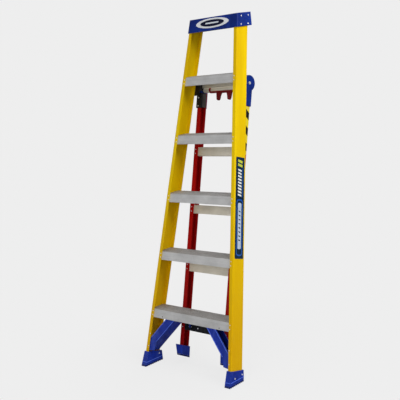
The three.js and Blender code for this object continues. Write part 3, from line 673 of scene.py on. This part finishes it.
def brace_rivets(side, sign):
    """A brace's dark screw through the lowest tread, and its rivets through the rail's flange"""
    tread_low, _ = ladder_box("tread_1")
    screw = at(sign * BRACE_SCREW_X, 0, tread_low.z / MM + BRACE_SCREW_RISE)
    places = [("tread_1", screw, BACKWARDS)]
    rivets(f"brace_screw_{side}", "front_section", places, SMALL_RIVET, "black_steel")
    foot = ladder_box("front_rail_right")[1].x / MM
    places = []
    for height in BRACE_RIVET_HEIGHTS:
        x = sign * (foot - TAPER * height - EDGE_INSET)
        places.append((f"front_rail_{side}", at(x, 0, height), BACKWARDS))
    rivets(f"brace_rivets_{side}", "front_section", places, SMALL_RIVET)


def boot_rivets(side, sign):
    boot = f"front_boot_{side}"
    places = [(boot, at(0, y, z), -ACROSS * sign) for y, z in BOOT_RIVETS_OUTSIDE]
    places.append((boot, at(0, *BOOT_RIVET_INSIDE), ACROSS * sign))
    rivets(f"boot_rivets_{side}", "front_section", places)


def knuckle_rivets(side, sign):
    """Rivets through a knuckle, its steel plate and the top of the rear rail"""
    x = sign * KNUCKLE_RIVET_X
    plate, knuckle = f"knuckle_plate_{side}", f"hinge_knuckle_{side}"
    places = [(plate, at(x, 0, z), BACKWARDS) for z in KNUCKLE_FRONT_HEIGHTS]
    places += [(knuckle, at(x, 0, z), -BACKWARDS) for z in KNUCKLE_BACK_HEIGHTS]
    rivets(f"knuckle_rivets_{side}", "rear_section", places)


def rear_bar_rivets(side, sign):
    """Two rivets through each rear rail flange at each rear bar, in front and behind"""
    rail = f"rear_rail_{side}"
    for number in range(1, REAR_BAR_COUNT + 1):
        low, high = ladder_box(f"rear_bar_{number}")
        places = []
        for share in PAIR_SHARES:
            z = low.z + (high.z - low.z) * share
            through = LADDER @ Vector((sign * REAR_RIVET_X * MM, 0, z))
            places += [(rail, through, BACKWARDS), (rail, through, -BACKWARDS)]
        rivets(f"rear_bar_{number}_rivets_{side}", "rear_section", places, SMALL_RIVET)


def rear_boot_rivets(side, sign):
    low, high = ladder_box(f"rear_boot_{side}")
    middle = Vector((0, (low.y + high.y) / 2, high.z - REAR_BOOT_RIVET_DROP * MM))
    places = [(f"rear_boot_{side}", LADDER @ middle, -ACROSS * sign)]
    rivets(f"rear_boot_rivet_{side}", "rear_section", places)


def bumper_screws(side):
    low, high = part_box(f"wall_bumper_{side}")
    places = []
    for share in PAIR_SHARES:
        middle = Vector((low.x + (high.x - low.x) * share, high.y, (low.z + high.z) / 2))
        places.append((f"wall_bumper_{side}", middle, Vector((0, -1, 0))))
    rivets(f"bumper_screws_{side}", "front_section", places, SMALL_RIVET)


def catch_plate_rivets():
    low, high = ladder_box("catch_plate")
    z = (low.z + high.z) / 2 - CATCH_PLATE_RIVET_DROP * MM
    places = []
    for x in CATCH_PLATE_RIVETS_X:
        places.append(("catch_plate", LADDER @ Vector((x * MM, 0, z)), BACKWARDS))
    rivets("catch_plate_rivets", "rear_section", places)


for side, sign in SIDES.items():
    cap_rivets(side, sign)
    tread_rivets(side, sign)
    brace_rivets(side, sign)
    boot_rivets(side, sign)
    knuckle_rivets(side, sign)
    rear_bar_rivets(side, sign)
    rear_boot_rivets(side, sign)
    bumper_screws(side)
catch_plate_rivets()


# ---- welts of the braces and the boots, pale blue as a painted highlight ------------------------


def add_bead(shape, line, closed=False):
    """A round bead along a line of surface points, each given with the surface's normal"""
    count = len(line)
    rings = []
    for i, (point, normal) in enumerate(line):
        before = line[i - 1][0] if closed or i else point
        after = line[(i + 1) % count][0] if closed or i < count - 1 else point
        along = (after - before).normalized()
        side = along.cross(normal).normalized()
        rings.append(add_ring(shape, point, side, side.cross(along), BEAD_RADIUS, BEAD_SIDES))
    for first, second in zip(rings, rings[1:]):
        add_band(shape, first, second)
    if closed:
        add_band(shape, rings[-1], rings[0])
    else:
        shape.faces.new(rings[0])
        shape.faces.new(reversed(rings[-1]))


def brace_beads(side, sign):
    """Two welts along the front flange of a knee brace, in a pale blue that is a painted highlight
    """
    along = (BRACE_BEND - BRACE_TOP).normalized()
    across = Vector((-along.y, along.x))
    shape = bmesh.new()
    for inset, end in BRACE_BEADS:
        start = BRACE_TOP + across * inset
        first = (start.y - BRACE_TOP.y + BRACE_BEAD_DROP) / -along.y
        line = []
        for step in range(BRACE_BEAD_STEPS + 1):
            spot = start + along * (first + (end - first) * step / BRACE_BEAD_STEPS)
            through = at(sign * spot.x, 0, spot.y)
            line.append(surface(f"knee_brace_{side}", through, BACKWARDS))
        add_bead(shape, line)
    name = f"brace_beads_{side}"
    piece(name, shape, "front_section", ["highlight_blue"])


def boot_bead(side):
    """A welt round a front boot, level with the floor, a little over its sole, in a pale blue that
    is a painted highlight
    """
    node = f"front_boot_{side}"
    low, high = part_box(node)
    middle = (low + high) / 2
    middle.z = low.z + BOOT_BEAD_LEVEL
    line = []
    for turn in turns(BOOT_BEAD_STEPS):
        inwards = -Vector((math.cos(turn), math.sin(turn), 0))
        line.append(surface(node, middle, inwards))
    shape = bmesh.new()
    add_bead(shape, line, closed=True)
    piece(f"{node}_bead", shape, "front_section", ["highlight_blue"])


for side, sign in SIDES.items():
    brace_beads(side, sign)
    boot_bead(side)


# ---- badge and labels ---------------------------------------------------------------------------


def cap_badge():
    """A blank oval badge on the cap's front face: a white ring, a dark field and a plain bar"""
    place, normal = surface("top_cap", at(0, 0, BADGE_Z), BACKWARDS)
    upwards = normal.cross(ACROSS)
    ring_top, field_top, bar_top = BADGE_LEVELS
    plates = [
        (oval(*BADGE_RING), -SUNK, ring_top, 0, RING_CROWN),
        (oval(*BADGE_FIELD), ring_top, field_top, 1, FIELD_CROWN),
        (slanted(*BADGE_BAR), field_top, bar_top, 2, 0.0),
    ]
    shape = bmesh.new()
    for plate in plates:
        add_plate(shape, place, ACROSS, upwards, *plate)
    materials = ["badge_white", "badge_navy", "badge_grey"]
    piece("cap_badge", shape, "front_section", materials)


def sticker_axes(node, through):
    """A place on a rail's outer web, the way up along it, and the way forwards across it"""
    place, normal = surface(node, through, -ACROSS)
    up = (UPWARDS - normal * UPWARDS.dot(normal)).normalized()
    return place, up, normal.cross(up)


GROUND, WHITE_INK, LIME_INK, BLUE_INK, PALE_INK = range(5)
LABEL_MATERIALS = ["label_vinyl", "ink_white", "ink_lime", "ink_blue", "ink_pale_blue"]
# the label's print: an outline and its sizes in millimetres, how many of it, the first one's
# distance from the label's upper end, the step to the next, how far forwards, ink and layer
LABEL_PRINT = (
    (slanted, (13, 34, 7), 2, 22, 20, 0, LIME_INK, 1),
    (slanted, (9, 27, 6), 9, 68, 16, 2, WHITE_INK, 1),
    (rounded_rectangle, (150, 3, 1), 1, 130, 0, -20, BLUE_INK, 1),
    (rounded_rectangle, (290, 46, 14), 1, 362, 0, 0, BLUE_INK, 1),
    (rounded_rectangle, (276, 36, 11), 1, 362, 0, 0, GROUND, 2),
    (rounded_rectangle, (236, 26, 7), 1, 354, 0, 0, PALE_INK, 3),
    (slanted, (6, 14, 4), 8, 280, 21, 0, GROUND, 4),
)


def rail_label():
    """The right rail's label, with plain bars and panels where a maker prints its words"""
    length, width = (LABEL_HIGH - LABEL_LOW) * MM, (LABEL_BACK - LABEL_FRONT) * MM
    middle = at(0, (LABEL_FRONT + LABEL_BACK) / 2, (LABEL_LOW + LABEL_HIGH) / 2)
    place, up, forwards = sticker_axes("front_rail_right", middle)
    shape = bmesh.new()
    outer = rounded_rectangle(length, width, LABEL_CORNER * MM)
    add_plate(shape, place, up, forwards, outer, -SUNK, STICKER, GROUND)
    for outline, sizes, count, first, step, ahead, ink, layer in LABEL_PRINT:
        mark = outline(*(size * MM for size in sizes))
        base = STICKER + (layer - 1) * PRINT
        for i in range(count):
            along = length / 2 - (first + i * step) * MM
            spot = place + up * along + forwards * (ahead * MM)
            add_plate(shape, spot, up, forwards, mark, base - PRINT / 2, base + PRINT, ink)
    piece("rail_label", shape, "front_section", LABEL_MATERIALS)


def hazard_stripes():
    """Slanting black and yellow stripes on the right rear rail's outer web, under the hinge"""
    height = (HAZARD_LOW + HAZARD_HIGH) / 2 * MM - PIVOT_IN_LADDER.z
    middle = REAR @ Vector((0, HAZARD_OFFSET * MM, height))
    place, up, forwards = sticker_axes("rear_rail_right", middle)
    length = (HAZARD_HIGH - HAZARD_LOW) * MM
    outer = rounded_rectangle(length, HAZARD_WIDTH * MM, HAZARD_CORNER * MM)
    reach = (HAZARD_WIDTH - HAZARD_MARGIN) * MM
    stripe = slanted(HAZARD_STRIPE * MM, reach, HAZARD_SLANT * MM)
    shape = bmesh.new()
    add_plate(shape, place, up, forwards, outer, -SUNK, STICKER)
    for i in range(HAZARD_COUNT):
        spot = place + up * (length / 2 - (HAZARD_FIRST + i * HAZARD_STEP) * MM)
        add_plate(shape, spot, up, forwards, stripe, STICKER / 2, STICKER + PRINT, 1)
    materials = ["hazard_yellow", "hazard_black"]
    piece("hazard_stripes", shape, "rear_section", materials)


cap_badge()
rail_label()
hazard_stripes()


# ---- studio -------------------------------------------------------------------------------------


def camera_switch(tree, unseen, seen):
    """One shader for what the camera sees, and another for the light that bounces elsewhere"""
    rays = tree.nodes.new("ShaderNodeLightPath")
    mix = tree.nodes.new("ShaderNodeMixShader")
    tree.links.new(rays.outputs["Is Camera Ray"], mix.inputs["Fac"])
    tree.links.new(unseen, mix.inputs[1])
    tree.links.new(seen, mix.inputs[2])
    return mix.outputs["Shader"]


def make_world():
    """A pale backdrop, dimmer as a light than as it looks"""
    world = bpy.data.worlds.new("studio")
    world.use_nodes = True
    scene.world = world
    tree = world.node_tree
    tree.nodes.clear()
    seen = tree.nodes.new("ShaderNodeBackground")
    seen.inputs["Color"].default_value = linear(BACKGROUND)
    fill = tree.nodes.new("ShaderNodeBackground")
    fill.inputs["Color"].default_value = (1, 1, 1, 1)
    fill.inputs["Strength"].default_value = FILL
    output = tree.nodes.new("ShaderNodeOutputWorld")
    shader = camera_switch(tree, fill.outputs["Background"], seen.outputs["Background"])
    tree.links.new(shader, output.inputs["Surface"])


def floor_material():
    """A pale matt floor that glows a little, and turns into the backdrop away from the ladder"""
    material = bpy.data.materials.new("floor")
    material.use_nodes = True
    tree = material.node_tree
    near = tree.nodes["Principled BSDF"]
    near.inputs["Base Color"].default_value = linear(FLOOR_TONE)
    near.inputs["Roughness"].default_value = FLOOR_ROUGHNESS
    far = tree.nodes.new("ShaderNodeEmission")
    far.inputs["Color"].default_value = linear(BACKGROUND)
    dim = tree.nodes.new("ShaderNodeBsdfDiffuse")
    dim.inputs["Color"].default_value = (FLOOR_BOUNCE, FLOOR_BOUNCE, FLOOR_BOUNCE, 1)
    place = tree.nodes.new("ShaderNodeTexCoord")
    reach = tree.nodes.new("ShaderNodeVectorMath")
    reach.operation = "LENGTH"
    fade = tree.nodes.new("ShaderNodeMapRange")
    fade.interpolation_type = "SMOOTHSTEP"
    fade.inputs["From Min"].default_value = FLOOR_FADE[0]
    fade.inputs["From Max"].default_value = FLOOR_FADE[1]
    fade.inputs["To Min"].default_value = FLOOR_GLOW
    mix = tree.nodes.new("ShaderNodeMixShader")
    tree.links.new(place.outputs["Object"], reach.inputs[0])
    tree.links.new(reach.outputs["Value"], fade.inputs["Value"])
    tree.links.new(fade.outputs["Result"], mix.inputs["Fac"])
    tree.links.new(near.outputs["BSDF"], mix.inputs[1])
    tree.links.new(far.outputs["Emission"], mix.inputs[2])
    shader = camera_switch(tree, dim.outputs["BSDF"], mix.outputs["Shader"])
    tree.links.new(shader, tree.nodes["Material Output"].inputs["Surface"])
    return material


def make_floor():
    shape = bmesh.new()
    bmesh.ops.create_circle(shape, cap_ends=True, segments=FLOOR_SIDES, radius=FLOOR_RADIUS)
    mesh = bpy.data.meshes.new("floor")
    shape.to_mesh(mesh)
    shape.free()
    mesh.materials.append(floor_material())
    floor = bpy.data.objects.new("floor", mesh)
    floor.location.z = cad_box[0].z - FLOOR_DROP
    scene.collection.objects.link(floor)


def aimed(azimuth, elevation, distance):
    """Where something stands that looks at the ladder's middle; the angles are in radians"""
    turn = Matrix.Rotation(azimuth, 4, "Z")
    tip = Matrix.Rotation(math.pi / 2 - elevation, 4, "X")
    return Matrix.Translation(VIEW_AIM) @ turn @ tip @ Matrix.Translation((0, 0, distance))


def make_lamp(name, azimuth, elevation, distance, size, power):
    data = bpy.data.lights.new(name, "AREA")
    data.size = size
    data.energy = power
    lamp = bpy.data.objects.new(name, data)
    lamp.matrix_world = aimed(math.radians(azimuth), math.radians(elevation), distance)
    scene.collection.objects.link(lamp)


def make_camera():
    data = bpy.data.cameras.new("camera")
    data.lens = LENS
    data.sensor_width = SENSOR
    camera = bpy.data.objects.new("camera", data)
    roll = Matrix.Rotation(VIEW_ROLL, 4, "Z")
    camera.matrix_world = aimed(VIEW_AZIMUTH, VIEW_ELEVATION, VIEW_DISTANCE) @ roll
    scene.collection.objects.link(camera)
    scene.camera = camera


make_world()
make_floor()
for lamp in LAMPS:
    make_lamp(*lamp)
make_camera()
scene.view_settings.view_transform = "Standard"
